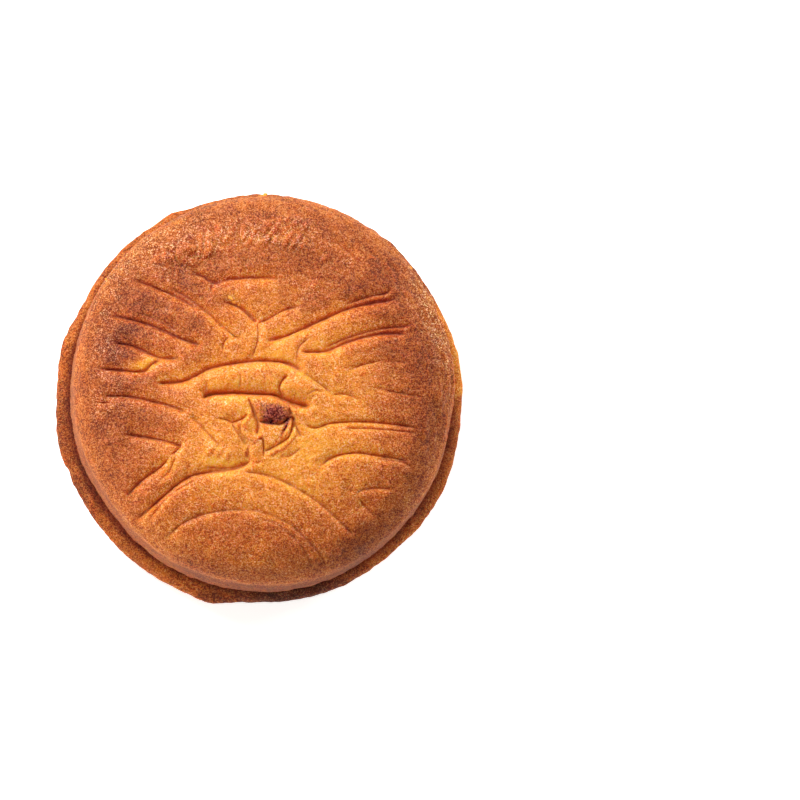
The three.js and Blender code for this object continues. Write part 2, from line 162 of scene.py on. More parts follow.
def spline(points):
    """Evenly spaced points along a smooth line through the given ones, and its length."""
    p = [np.array(q, float) for q in points]
    p = [2 * p[0] - p[1]] + p + [2 * p[-1] - p[-2]]
    beads = [p[1]]
    for a, b, c, d in zip(p, p[1:], p[2:], p[3:]):
        for t in np.linspace(0, 1, SPAN_STEPS + 1)[1:]:
            straight = 2 * b + (c - a) * t
            bent = (2 * a - 5 * b + 4 * c - d) * t**2
            twisted = (3 * b - 3 * c + d - a) * t**3
            beads.append(0.5 * (straight + bent + twisted))
    beads = np.array(beads)
    run = np.concatenate([[0], np.cumsum(np.linalg.norm(np.diff(beads, axis=0), axis=1))])
    steps = np.linspace(0, run[-1], max(int(run[-1] / BEAD_STEP), 3))
    return np.stack([np.interp(steps, run, beads[:, i]) for i in (0, 1)], axis=1), run[-1]


def crease(depth, left, right, points, fade=(2, 2)):
    """A line whose bed is a valley of this depth, with the reach of its left and right slope,
    its points seen from above, and the length over which it runs out at each end."""
    beads, length = spline(points)
    return dict(depth=depth, left=left, right=right, beads=beads, length=length, fade=fade)


def creases(rows):
    return [crease(*row) for row in rows]


CREASES = creases([
    # upper left fan, from the rim towards the centre
    (0.75, 0.9, 0.8, [(-23, 18.8), (-20.9, 18.1), (-17.8, 16.8), (-14.8, 15.4), (-11.7, 13.5)], (2, 1.5)),
    (0.65, 0.7, 0.7, [
        (-16.9, 17.7), (-15.5, 16.8), (-13.6, 15.6), (-11.3, 13.9), (-9.1, 12.1), (-6.8, 9.9),
        (-4.2, 7.8),
    ]),
    (0.85, 1, 0.9, [(-27.4, 12.7), (-24.4, 12.1), (-20, 10.8), (-14.8, 8.5), (-11.3, 7.3)], (2, 0.6)),
    (0.35, 0.5, 0.4, [(-22.1, 13), (-20.7, 12.6), (-18.8, 11.6), (-17.3, 10.9), (-14.8, 9.4)]),
    (0.5, 1.1, 0.8, [(-14.1, 8.3), (-12.9, 7.6), (-11.2, 7.4)], (1, 1)),
    (0.5, 0.6, 0.6, [(-13.4, 8.1), (-12, 7.1), (-12.6, 6.1)], (0.8, 1)),
    (0.3, 0.5, 0.5, [(-12, 6.8), (-11.3, 5.5), (-10.3, 4.3)]),
    (0.9, 0.9, 0.8, [(-27, 7.8), (-23.5, 7.3), (-20, 5.7), (-17.8, 5), (-14.5, 5)]),
    (0.9, 0.9, 0.9, [(-29.3, 3.3), (-24.9, 2.9), (-21.3, 2.7), (-19.7, 4), (-17.4, 5)]),
    (0.45, 0.5, 0.9, [(-7.5, 5.7), (-7.2, 7.8), (-6, 8.7)], (1, 1)),
    # the long fold above the middle roll, and its tails to the right
    (1.1, 1.5, 0.9, [
        (-19.5, 0.5), (-14.3, 1), (-10.3, 2.9), (-7.2, 3.8), (-0.6, 4.5), (4, 4), (7.1, 2.2),
    ]),
    (0.5, 0.6, 0.7, [(6.1, 2.9), (9.2, 0.7), (12.3, -1.6)]),
    (0.4, 0.6, 0.6, [(10.9, -1.6), (13.9, -1.3), (17.2, -2.5)]),
    (0.3, 0.5, 0.6, [(6.6, -1.8), (8.7, -0.7), (10.9, -1.3)]),
    # the three-way fold above the centre, and the arc over it
    (1, 1.1, 0.9, [(-7.7, 14.9), (-4.4, 13.9), (-1.4, 11.1)], (2, 0.6)),
    (0.65, 1, 0.9, [(-1.4, 11.1), (0.5, 11.8), (3.3, 13.4), (6.4, 14.2)], (0.6, 2)),
    (0.45, 0.8, 0.8, [(-1.4, 11.3), (-1.3, 8.1), (-2.6, 4.3)], (0.6, 2)),
    (0.75, 1.1, 0.8, [
        (-13.1, 20.1), (-10.8, 19.3), (-8.9, 18.1), (-6.1, 18.8), (-1.3, 19.1), (2.9, 18.9),
    ]),
    (0.5, 0.8, 0.6, [(-9.1, 18.1), (-9.4, 17), (-9.8, 15.6)], (0.6, 2)),
    (0.35, 0.6, 0.7, [(1, 20.7), (0.7, 19.1), (-0.9, 16.8)]),
    (0.25, 0.5, 0.7, [(-4.4, 18.6), (-4.4, 16.1)]),
    (0.45, 0.8, 0.6, [(9.9, 25.7), (12.3, 25.4), (14.8, 23.6), (17.5, 21.2)]),
    # upper right fan
    (1.05, 1.4, 0.8, [(-0.2, 7.8), (4, 9), (9.2, 11.4), (13.9, 13.5), (18.6, 14.8), (23.1, 15.5)]),
    (0.6, 0.9, 0.45, [(13.4, 14.2), (17.9, 15.8), (21.4, 16.7), (22.2, 18.1)]),
    (1, 1.5, 0.8, [(5.7, 6.1), (10.4, 6.2), (14.8, 8), (20.3, 9.4), (25.4, 9.4)]),
    (0.6, 0.9, 0.45, [(9.9, 6.6), (14.8, 8.7), (20, 10.2), (24.7, 10.8), (25.9, 11.8)]),
    (0.4, 0.7, 0.6, [(8.3, 9), (5.9, 6.9), (5.4, 3.6)]),
    (0.4, 0.6, 0.7, [(14.1, 2.7), (17.5, 4), (21, 4.8)]),
    (0.25, 0.5, 0.5, [(21, 4.7), (25.5, 4.3)]),
    (0.35, 0.5, 0.6, [(18.6, 0.1), (22.1, -0.7), (27.3, -1.6)]),
    # left side
    (0.8, 0.8, 0.8, [(-28.7, -1.6), (-24.4, -1.6), (-20, -2.5), (-16.2, -3.5), (-13.3, -4.9)]),
    (0.6, 0.6, 0.5, [(-30.1, -2.7), (-28, -2.7), (-26, -2.8)]),
    (0.8, 0.9, 0.9, [(-24.9, -8.2), (-20.4, -8.9), (-16.9, -9.6), (-14.3, -10.6)], (2, 0.6)),
    (0.6, 0.7, 0.7, [(-14.5, -9.4), (-15.2, -11), (-16.6, -12)], (1, 1)),
    (0.55, 0.8, 0.8, [(-13.3, -4.7), (-10.6, -7.5), (-7.5, -10.8)]),
    (0.8, 0.9, 0.9, [(-24.6, -19.5), (-21.3, -16.2), (-18.3, -14.1), (-16.2, -11.9)]),
    (0.4, 0.6, 0.6, [(-18.7, -16.6), (-16.6, -14.7), (-15.2, -11.5)]),
    # the two arcs below the centre
    (0.9, 0.9, 0.8, [
        (-22.8, -23.4), (-20, -21.1), (-14.1, -16.2), (-10.3, -15), (-5.1, -14.3), (-1.9, -12.7),
    ]),
    (0.4, 0.4, 0.5, [(-20.6, -23.7), (-16.6, -19), (-12, -16.2)]),
    (0.6, 1.3, 0.7, [(-10.8, -14.1), (-5.8, -14.1), (-1.9, -12.7)]),
    (0.55, 0.7, 0.7, [(-4.4, -14.7), (0.5, -15.5), (5.4, -17.6), (10.6, -21.1), (16.1, -26.3)]),
    (0.42, 0.7, 0.7, [
        (-17.8, -26.8), (-14.1, -23.7), (-9.6, -22), (-4.4, -21.4), (0.1, -22), (4.3, -23.9),
        (7.1, -26.3), (9.5, -28.9), (10.9, -31.2),
    ]),
    (0.3, 0.6, 0.6, [(0.7, -28.6), (1.4, -30.1), (2.9, -31.9)]),
    # right side
    (0.65, 0.7, 0.7, [(6.6, -6.5), (8.8, -7.2), (12, -6.3), (18.6, -6.1), (26.8, -7)]),
    (0.45, 0.5, 0.5, [(13.5, -7.2), (19.6, -7.3), (26.6, -7.9)]),
    (0.7, 0.8, 0.8, [(9.2, -14.3), (11.6, -12.4), (15.5, -11.5), (20.3, -12), (25.5, -12.9)]),
    (0.4, 0.4, 0.5, [(18.6, -12.4), (24.2, -13.1), (25.9, -14.5)]),
    (0.45, 0.7, 0.6, [(15.6, -19), (16.8, -18), (20, -17.6), (22.9, -18)]),
    (0.45, 0.6, 0.7, [(16, -19), (17.5, -20.7), (19.6, -22.7)]),
    # the deep fold under the middle roll, and the roll's cross folds
    (1.7, 1.4, 0.8, [
        (-11.2, -2.1), (-9.4, -1.3), (-5.8, -1.1), (-1.3, -1.3), (1.7, -1.5), (4.3, -2.6),
        (6.8, -3.3), (8.3, -3.3),
    ], (1, 1.5)),
    (0.75, 0.4, 0.9, [(4.1, 1.9), (3.3, 1.5), (2.5, -0.2), (3.4, -1.9)], (0.8, 0.6)),
    (0.35, 0.5, 0.5, [(-4.5, 3.3), (-4.2, 0.5), (-4.5, -0.7)]),
    (0.3, 0.6, 0.4, [(-0.4, 3.3), (0.2, -0.2)]),
    # the folds round the sunken centre
    (0.65, 0.9, 0.6, [(-8.6, -5.4), (-6.6, -5.9), (-5.8, -6.3), (-3.7, -5.5), (-3, -4.7)], (1, 0.5)),
    (0.8, 0.4, 1.2, [(-2.9, -1.9), (-1.9, -4.5), (-1.2, -6.5), (-1.4, -8.6)], (0.5, 0.6)),
    (0.9, 0.5, 0.35, [(-1.3, -6.1), (0.7, -6.3), (2.7, -6.5), (4.3, -5.4)], (0.6, 0.4)),
    (0.4, 0.4, 0.35, [(4.5, -5.1), (4, -6.5), (2.8, -8.6)], (0.5, 0.8)),
    (0.6, 0.35, 0.35, [(4.8, -4.9), (4.8, -6.5), (4.1, -8.8), (2.3, -10), (-0.3, -11.5)], (0.5, 0.8)),
    (0.7, 0.6, 0.5, [(4.9, -5.1), (5.3, -6.6), (6.6, -9.3)], (0.6, 1.5)),
    (0.45, 0.6, 0.5, [(-5.8, -6.5), (-4.1, -9), (-2.6, -10.6)], (0.5, 1)),
])

# Raised rolls beside the folds, made as creases are, with a negative depth.
ROLLS = creases([
    (-0.35, 0.9, 0.9, [(-9.1, 1.4), (-4.2, 1.9), (1.2, 1.7)]),
    (-0.6, 0.75, 0.75, [(4.7, 1.7), (6.9, -0.2), (8.8, -1.8)]),
    (-0.45, 0.7, 0.7, [(-8.4, -3.3), (-4.4, -3.7)]),
    (-0.45, 0.45, 0.45, [(-1.8, -10.1), (-1.9, -12)], (0.8, 0.8)),
    (-0.5, 0.9, 0.9, [(-0.2, -3.7), (2.6, -3.7)], (1, 1)),
])

# Smaller folds and sharp ridges, finer than the solid's faces.
FINE_CREASES = creases([
    (0.35, 0.35, 0.35, [(-1.3, -22.9), (1.5, -23.6), (4.1, -25.4), (6.4, -27.7), (8.5, -30.7)], (1, 1)),
    (0.3, 0.6, 0.6, [(-10.3, 1.2), (-10.1, -1.8)], (0.6, 0.6)),
    (0.6, 0.7, 0.5, [(-9.4, -1.4), (-9.9, -2.3), (-10, -3.5)], (0.4, 1)),
    (0.2, 0.4, 0.4, [(0.8, 2.9), (1.1, 1.2)], (1, 1)),
    (0.6, 0.5, 0.5, [(4.3, -2.6), (5, -3.3), (5.8, -4.2)], (0.4, 0.8)),
    (0.8, 0.3, 0.3, [(4.1, -2.8), (4.3, -3.9), (4.8, -4.9)], (0.4, 0.4)),
    (0.35, 0.4, 0.4, [(-4.2, -6.5), (-4.3, -7.5), (-3.9, -8.6), (-2.1, -9.7)], (0.5, 0.8)),
    (0.6, 0.3, 0.3, [(-1.2, -9.1), (-0.6, -9), (-0.2, -10), (-0.3, -12.6)], (0.3, 1)),
    (0.35, 0.3, 0.4, [(-2.6, -9.8), (-2.9, -11.2), (-2.6, -13.1)], (0.8, 0.5)),
    (0.35, 0.3, 0.3, [(-2.6, -13.2), (-1.4, -13.4), (-0.6, -12.9)], (0.5, 0.5)),
    (0.3, 0.4, 0.5, [(2.6, -12), (4.1, -12.2), (6.4, -10.6)], (0.8, 1)),
    (0.5, 0.3, 0.3, [(-3.3, -11.5), (-3.1, -12.7)], (0.5, 0.5)),
    (0.45, 0.5, 0.4, [(-20.2, 22.9), (-18.3, 23.5), (-16.4, 23.5), (-15.3, 22.8)], (1, 1)),
    (0.45, 0.5, 0.5, [(-11.5, 27.1), (-10, 27.5), (-8.2, 27.1)], (1, 1)),
])
FINE_RIDGES = creases([
    (-0.45, 0.17, 0.17, [
        (-2.6, -4.2), (-3, -5.4), (-3.9, -6.8), (-3.6, -8.2), (-1.8, -9.2), (-0.6, -8.2),
    ], (0.5, 0.5)),
    (-0.4, 0.16, 0.16, [(4.5, -5.6), (4.1, -7), (3.6, -8), (2.9, -8.9)], (0.5, 0.8)),
    (-0.4, 0.16, 0.16, [(5.1, -7.3), (4.7, -8.8), (2.9, -10.6), (0.3, -11.9)], (1, 1)),
    (-0.6, 0.28, 0.28, [(4.2, -3.2), (4.9, -4), (5.4, -4.9)], (0.5, 0.5)),
    (-0.3, 0.3, 0.3, [(6.2, -4.2), (5.7, -5.3), (5.7, -6.5)], (0.5, 0.5)),
    (-0.3, 0.28, 0.28, [(-10.3, -12), (-9.3, -10.6), (-8.9, -9.6)], (0.5, 0.5)),
    (-0.25, 0.25, 0.25, [(-8.6, -12.2), (-7.7, -10.8)], (0.5, 0.5)),
    (-0.2, 0.25, 0.25, [(-7.2, -12.9), (-6.3, -11.3)], (0.5, 0.5)),
    (-0.35, 0.35, 0.3, [(-29.3, -10.5), (-27.7, -9.6), (-25.1, -9.4)], (1, 1)),
    (-0.4, 0.3, 0.25, [(-8.7, 17.6), (-7.7, 18), (-6.1, 18.3)], (1, 1)),
    (-0.35, 0.3, 0.25, [(-8.7, 17.5), (-9.1, 16.7), (-9.3, 15.8)], (1, 1)),
    (-0.3, 0.35, 0.25, [(-4.4, 16.7), (-4.2, 17.9), (-3.3, 18.5)], (1, 1)),
    (-0.5, 0.55, 0.4, [(-15.2, 22.1), (-14.1, 23.1), (-12.7, 24.7)], (1, 1)),
    (-0.45, 0.5, 0.4, [(-11.3, 22.8), (-10.3, 24), (-9.3, 25.4)], (1, 1)),
    (-0.5, 0.5, 0.4, [(-19.5, 22.1), (-17.6, 22.5), (-15.7, 22.2)], (1, 1)),
    (-0.3, 0.3, 0.3, [(8, 17.2), (9.2, 18.2)], (0.6, 0.6)),
    (-0.25, 0.3, 0.3, [(6.9, 15.5), (8.8, 16)], (0.6, 0.6)),
    (-0.3, 0.3, 0.3, [(9.9, 22.1), (11.4, 23.3)], (0.6, 0.6)),
    (-0.35, 0.4, 0.3, [(-0.9, 16.8), (0.1, 18.1), (1.4, 18.8)], (1, 1)),
])

# The scorched sunken spots: (x, y), radius, depth.
PITS = [((1.1, -5.9), 0.9, 1.2), ((2.6, -5.3), 0.5, 0.5)]


def hump(u):
    """A slope that falls from 1 at a sharp line to 0, where u is 1."""
    return np.clip(1 - u, 0, None) ** 2


def swell(u):
    """A round rise that falls from 1 to 0, where u is 1."""
    return np.clip(1 - u * u, 0, None) ** 2


def beside(line, x, y):
    """The points near a line: their numbers, the way from each to the line, how far that is,
    its share of the slope's reach, and how much of the line is there between its faded ends."""
    margin = SWALE_REACH * max(line["left"], line["right"])
    low, high = line["beads"].min(0) - margin, line["beads"].max(0) + margin
    near = np.flatnonzero((x > low[0]) & (x < high[0]) & (y > low[1]) & (y < high[1]))
    px, py = x[near], y[near]
    nearest = np.full(len(near), np.inf)
    way = np.zeros((len(near), 2))
    along, side = np.zeros(len(near)), np.zeros(len(near))
    spans = len(line["beads"]) - 1
    for i, (a, b) in enumerate(zip(line["beads"], line["beads"][1:])):
        dx, dy = b - a
        t = np.clip(((px - a[0]) * dx + (py - a[1]) * dy) / (dx * dx + dy * dy), 0, 1)
        to_line = np.stack([a[0] + t * dx - px, a[1] + t * dy - py], axis=1)
        away = np.hypot(to_line[:, 0], to_line[:, 1])
        closer = away < nearest
        way[closer] = to_line[closer]
        nearest[closer] = away[closer]
        along[closer] = (i + t[closer]) / spans
        side[closer] = (dx * (py - a[1]) - dy * (px - a[0]))[closer]
    u = nearest / np.where(side > 0, line["left"], line["right"])
    start = smooth(along * line["length"], FADE_START, line["fade"][0])
    end = smooth((1 - along) * line["length"], FADE_START, line["fade"][1])
    return near, way, nearest, u, start * end


def bed_depth(line, x, y):
    """The depth that one line takes away at points of the crown seen from above."""
    depth = np.zeros_like(x)
    near, _, _, u, there = beside(line, x, y)
    if line["depth"] < 0:
        bed = swell(u / SWALE_REACH)
    else:
        bed = CUT_SHARE * hump(u / CUT_REACH) + SWALE_SHARE * hump(u / SWALE_REACH)
    depth[near] = line["depth"] * bed * there
    return depth


LINE_WIDTH = 0.14  # of the fine cut in a shallow crease, also painted dark as shade
LINE_SPREAD = 0.22  # how much wider it is per millimetre of depth
LINE_SHARE = 0.35  # how much of it shows in a shallow crease
LINE_GAIN = 0.7  # how much more of it shows per millimetre of depth


def crease_line(x, y):
    """How much of a crease's fine cut is at each point, from 0 to about 1."""
    cut = np.zeros_like(x)
    for line in CREASES + FINE_CREASES:
        near, _, away, _, there = beside(line, x, y)
        share = min(1, LINE_SHARE + LINE_GAIN * line["depth"]) * there
        width = LINE_WIDTH + LINE_SPREAD * line["depth"]
        cut[near] = np.maximum(cut[near], share * np.exp(-((away / width) ** 2)))
    return cut


def crease_depth(x, y):
    """How deep all creases together go at points of the crown seen from above."""
    return np.sqrt(sum(bed_depth(line, x, y) ** 2 for line in CREASES + FINE_CREASES))


def relief(x, y):
    """The height of the crown's relief above its smooth form."""
    height = -crease_depth(x, y)
    for line in ROLLS + FINE_RIDGES:
        height -= bed_depth(line, x, y)
    for (px, py), radius, depth in PITS:
        height -= depth * hump(np.hypot(x - px, y - py) / radius)
    return height + CROWN_LUMPS * np.sin(0.21 * x + 0.9) * np.cos(0.26 * y - 0.4)


# ---- the surface


def crust(net):
    """The points of the crust, in millimetres, that belong to points of the flat net."""
    reach, angle = polar(net)
    reach = np.minimum(reach, NET_RADIUS)
    r, z, normal = profile_at(reach)
    foot_share = smooth(GROOVE_HEIGHT - z, 0, GROOVE_HEIGHT - FOOT_HEIGHT)
    radius = r * (1 - OVAL * np.cos(2 * angle) * (1 - ROUND_SHARE * foot_share))
    radius += foot_share * (FOOT_RIPPLE * np.sin(9 * angle) + swell_at(angle, FOOT_SWELLS))
    on_wall = (1 - foot_share) * smooth(reach, *WALL_STARTS)
    radius += on_wall * (WALL_LUMPS * np.sin(5 * angle + 2) + swell_at(angle, WALL_SWELLS))
    cos, sin = np.cos(angle), np.sin(angle)
    top = 1 - smooth(reach, *CREASES_END)
    lift = top * relief(radius * cos, radius * sin)
    radius += normal[:, 0] * lift
    low = smooth(z, 0, FOOT_HEIGHT) * (1 - smooth(z, GROOVE_HEIGHT, wall_top[1]))
    wave = GROOVE_WAVE * low * np.sin(3 * angle + 0.6) * np.cos(4 * angle)
    return np.stack([radius * cos, radius * sin, z + wave + normal[:, 1] * lift], axis=1)


# ---- the net: a square grid bent into a disc, with rings round it

GRID = 256  # cells along each side of the square grid
GRID_RADIUS = 29.5  # the grid covers the crown out to here
GRID_EVENNESS = 0.9  # the middle cells' size, as a share of even ones
# From the grid to the base: how many rings, and the reach of the last one.
RINGS = [(16, SHOULDER_END), (14, WALL_END), (8, GROOVE_END), (12, FOOT_END), (8, NET_RADIUS)]
BASE_RINGS = (0.97, 0.9, 0.8, 0.65, 0.45, 0.2)  # of the flat base, as shares of its rim
DRAW = 0.75  # how far points beside a crease are drawn to it, as a share
DRAW_REACH = 0.33  # how far from the line that is felt
DRAW_ENDS = 3  # how much sooner than the crease that comes in at its ends


def disc_grid():
    """A square grid bent into a disc: its points, its quads and its rim in order."""
    line = np.linspace(-1, 1, GRID + 1)
    line *= GRID_EVENNESS + (1 - GRID_EVENNESS) * line * line
    u, v = np.meshgrid(line, line, indexing="ij")
    edge = np.maximum(np.abs(u), np.abs(v))
    distance = np.maximum(np.hypot(u, v), 1e-9)
    scale = 1 + edge**2 * (edge / distance - 1)
    points = np.stack([(u * scale).ravel(), (v * scale).ravel()], axis=1) * GRID_RADIUS
    number = np.arange((GRID + 1) ** 2).reshape(GRID + 1, GRID + 1)
    quads = np.stack(
        [number[:-1, :-1], number[1:, :-1], number[1:, 1:], number[:-1, 1:]], axis=-1
    ).reshape(-1, 4)
    rim = np.concatenate([number[:-1, 0], number[-1, :-1], number[:0:-1, -1], number[0, :0:-1]])
    return points, quads.tolist(), rim


def drawn_to_creases(net):
    """The net with its points drawn to the nearest crease, so that each cut comes out crisp."""
    x, y = net[:, 0], net[:, 1]
    nearest = np.full(len(net), np.inf)
    shift = np.zeros_like(net)
    for line in CREASES + FINE_CREASES + FINE_RIDGES:
        near, way, away, _, there = beside(line, x, y)
        closer = away < nearest[near]
        near = near[closer]
        nearest[near] = away[closer]
        pull = DRAW * np.exp(-((away[closer] / DRAW_REACH) ** 2))
        pull = pull * np.minimum(1, DRAW_ENDS * there[closer])
        shift[near] = way[closer] * pull[:, None]
    return net + shift * (1 - smooth(np.hypot(x, y), CROWN_RADIUS, GRID_RADIUS))[:, None]


def cells(*corners):
    """Faces, from an array for each of their corners."""
    return np.stack(corners, axis=1).tolist()


def cake_mesh():
    """The whole crust as one closed mesh, and the net points of its skin."""
    points, faces, rim = disc_grid()
    points = drawn_to_creases(points)
    net = [points]
    count = len(points)
    # the rings have half as many points as the grid's rim
    angles = polar(points[rim])[1][::2]
    ring_size = len(angles)
    reach = GRID_RADIUS
    previous = None
    for rings, last in RINGS:
        for step in np.linspace(reach, last, rings + 1)[1:]:
            ring = np.arange(count, count + ring_size)
            net.append(np.stack([np.cos(angles), np.sin(angles)], axis=1) * step)
            after = np.roll(ring, -1)
            if previous is None:
                a, b, c = rim[0::2], rim[1::2], np.roll(rim[0::2], -1)
                faces += cells(a, ring, b) + cells(b, ring, after) + cells(b, after, c)
            else:
                faces += cells(previous, ring, after, np.roll(previous, -1))
            previous = ring
            count += ring_size
        reach = last
    net = np.concatenate(net)
    body = crust(net)
    # the flat base closes over narrowing rings and a middle point
    rim_points = body[previous]
    base = []
    for share in BASE_RINGS:
        ring = np.arange(count, count + ring_size)
        base.append(rim_points * (share, share, 1))
        faces += cells(previous, ring, np.roll(ring, -1), np.roll(previous, -1))
        previous = ring
        count += ring_size
    base.append(np.zeros((1, 3)))
    faces += [[a, count, b] for a, b in zip(previous, np.roll(previous, -1))]
    return np.concatenate([body] + base), faces, net


# ---- finer relief, only in these looks


def noise_at(points, size, seed=0):
    """Smooth noise from -1 to 1 at each point, with features of this size."""
    scaled = points / size + seed
    return np.array([noise.noise(Vector(p)) for p in scaled])


def window(value, low, high, soft):
    """1 between low and high, and 0 beyond a soft edge on both sides."""
    return smooth(value, low - soft, low) * (1 - smooth(value, high, high + soft))


def arcs(degrees, places, base):
    """A value all round, with more of it on some arcs: the ends and soft edge of each, in
    degrees, and how much more there is."""
    total = np.full(len(degrees), float(base))
    for low, high, soft, more in places:
        total += more * window(degrees, low, high, soft)
    return total


def patches(spots, x, y):
    """The sum of soft oval spots at points of the crown."""
    total = np.zeros_like(x)
    for cx, cy, along, across, turn, strength in spots:
        cos, sin = math.cos(math.radians(turn)), math.sin(math.radians(turn))
        u = ((x - cx) * cos + (y - cy) * sin) / along
        v = (-(x - cx) * sin + (y - cy) * cos) / across
        total += strength * np.exp(-(u * u + v * v))
    return total


# Soft puffs with sharp valleys between them: their size, seed and height.
LARGE_PUFFS = (3.6, 0, 0.3)
MIDDLE_PUFFS = (1.7, 7, 0.22)
SMALL_PUFFS = (0.9, 19, 0.1)
CRUMPLES = (1.6, 5, 0.3)
# Where the skin is crumpled, in the sunken left of the centre, as patches() takes it.
CRUMPLED = [(-8.4, -11.3, 2.6, 1.5, 0, 1)]

WRINKLE_WIDTH = 0.6  # of the wrinkles along the rim
WRINKLE_LENGTH = 3
WRINKLE_REACHES = (29.5, 35, 2.5)  # where they are in the net, and how softly they end
WRINKLE_HEIGHT = 0.05  # all round
WRINKLE_ARCS = [(-5, 45, 20, 0.42), (120, 165, 15, 0.12)]  # where they are higher

BUMP_WIDTH = 1.6  # of the pinched bumps under the top rim
BUMP_LENGTH = 2.4
BUMP_LEAN = 0.25  # how far they lean sideways
BUMP_SEED = 3
BUMP_DEGREES = (76, 128, 10)  # where they are round the crown, and how softly they end
BUMP_REACHES = (25.2, 28.6, 1.3)  # where they are in the net
BUMP_HEIGHT = 1.1

GRAIN_SIZE, GRAIN_SEED, GRAIN_HEIGHT = 0.8, 31, 0.06  # of the wall and foot
CUT_DEPTH = 0.2  # of the fine cut at the bottom of a crease

# Where in the net a thing starts and is full, or begins to end and is gone.
FINE_ENDS = (30, 36)  # small puffs and fine cuts
GRAIN_STARTS = (33, 37)
RELIEF_ENDS = (NET_RADIUS - 2, NET_RADIUS)  # all fine relief, next to the flat base
GLOSS_ENDS = (25, 36)  # the glaze of the crown
RIM_STARTS = (26, 34)  # the tint of the rim
WALL_TINT_STARTS = (34, 37)
FOOT_STARTS = (42, 44.5)  # the foot's looks, in place of the wall's
NOOK_STARTS = (42, 44)  # the shaded nook under the wall


def puffs(points, size, seed, height):
    """The height of the puffs at each point."""
    return height * np.abs(noise_at(points, size, seed))


def strips(across, along):
    """Points for noise that is stretched along the rim, from two distances on the crust."""
    return np.stack([across, along, np.zeros_like(across)], axis=1)


def rim_bumps(net):
    """A chain of pinched bumps under the top rim, from 0 to about 1."""
    reach, angle = polar(net)
    ribs = strips(angle * CROWN_RADIUS / BUMP_WIDTH + reach * BUMP_LEAN, reach / BUMP_LENGTH)
    band = window(np.degrees(angle), *BUMP_DEGREES) * window(reach, *BUMP_REACHES)
    return np.abs(noise_at(ribs, 1, BUMP_SEED)) * band


def fine_relief(net, points):
    """The height of wrinkles and pores over the solid's own surface, in millimetres."""
    reach, angle = polar(net)
    crown = 1 - smooth(reach, *FINE_ENDS)
    height = puffs(points, *LARGE_PUFFS) + puffs(points, *MIDDLE_PUFFS)
    height += puffs(points, *SMALL_PUFFS) * crown
    wrinkles = noise_at(strips(reach / WRINKLE_WIDTH, angle * CROWN_RADIUS / WRINKLE_LENGTH), 1)
    strength = arcs(np.degrees(angle), WRINKLE_ARCS, WRINKLE_HEIGHT)
    height += strength * wrinkles * window(reach, *WRINKLE_REACHES)
    height += BUMP_HEIGHT * rim_bumps(net)
    height += puffs(points, *CRUMPLES) * patches(CRUMPLED, net[:, 0], net[:, 1])
    grain = GRAIN_HEIGHT * noise_at(points, GRAIN_SIZE, GRAIN_SEED)
    height += grain * smooth(reach, *GRAIN_STARTS)
    height -= CUT_DEPTH * crease_line(points[:, 0], points[:, 1]) * crown
    return height


# ---- browning

# Browner and paler patches of the crown, partly real browning and partly painted light and shade: the
# middle, the half widths along and across, the turn in degrees, and how much browner (or, below zero,
# paler) the crust is there.
PATCHES = [
    # the upper left and the left
    (-25, 9, 3, 5, -30, 0.08),
    (-11.4, 10.7, 2.6, 1, -63, 0.08),
    (-14, 9.5, 5, 2.5, -30, 0.1),
    (-12, 17.5, 8, 4, -30, 0.06),
    (-21, 3.9, 2.6, 1.1, 15, -0.45),
    (-26, -5.5, 3, 4, 0, 0.06),
    (-25, 12, 4, 8, -20, 0.08),
    (-18.3, 18.6, 4, 3, -30, -0.07),
    (-23.5, 1.2, 4, 3, 0, 0.06),
    (-20, -5.8, 4, 3, 0, 0.05),
    (-17, -6, 4, 2.5, -20, 0.12),
    (-7.5, 5.5, 6, 3, 10, 0.1),
    # the top, under the rim
    (-2.6, 16.5, 6, 3.5, 0, -0.1),
    (-4.5, 23.5, 5, 2.5, 0, -0.12),
    (-13.3, 23, 3, 2, 0, -0.1),
    (0, 26.5, 9, 1.8, 0, -0.14),
    (11, 23.3, 5, 2.6, -25, -0.06),
    # the right
    (14, 16.5, 9, 2.2, 12, 0.1),
    (14.8, 10.8, 5, 3, 15, -0.08),
    (16, -0.5, 5, 2, 0, -0.05),
    (22, 9, 2.6, 8, 0, 0.06),
    (27, -3, 3, 8, 0, 0.12),
    (13, -11, 8, 4, 0, -0.09),
    (21.7, -21, 9, 5, 45, 0.01),
    # the lower left and the bottom, mostly painted paler as light
    (-18, -24, 9, 8, 0, -0.13),
    (-9, -13, 7, 1.5, 0, -0.12),
    (1, -31.5, 13, 3.5, 0, -0.16),
    (-2.6, -26, 8, 3, 0, 0.04),
    (6, -17, 6, 2.5, -20, -0.04),
    (-7, -5, 4, 3, 0, 0.06),
]

# Scorched spots in the sunken centre, in the same way.
SCORCHES = [
    (1, -4.2, 3.6, 1.8, -12, 0.6),
    (2.5, -4.5, 2, 1.2, -15, 0.45),
    (1, -5.7, 1.2, 0.8, 0, 1.6),
    (3.6, -6.8, 1.8, 0.45, 65, 0.7),
]
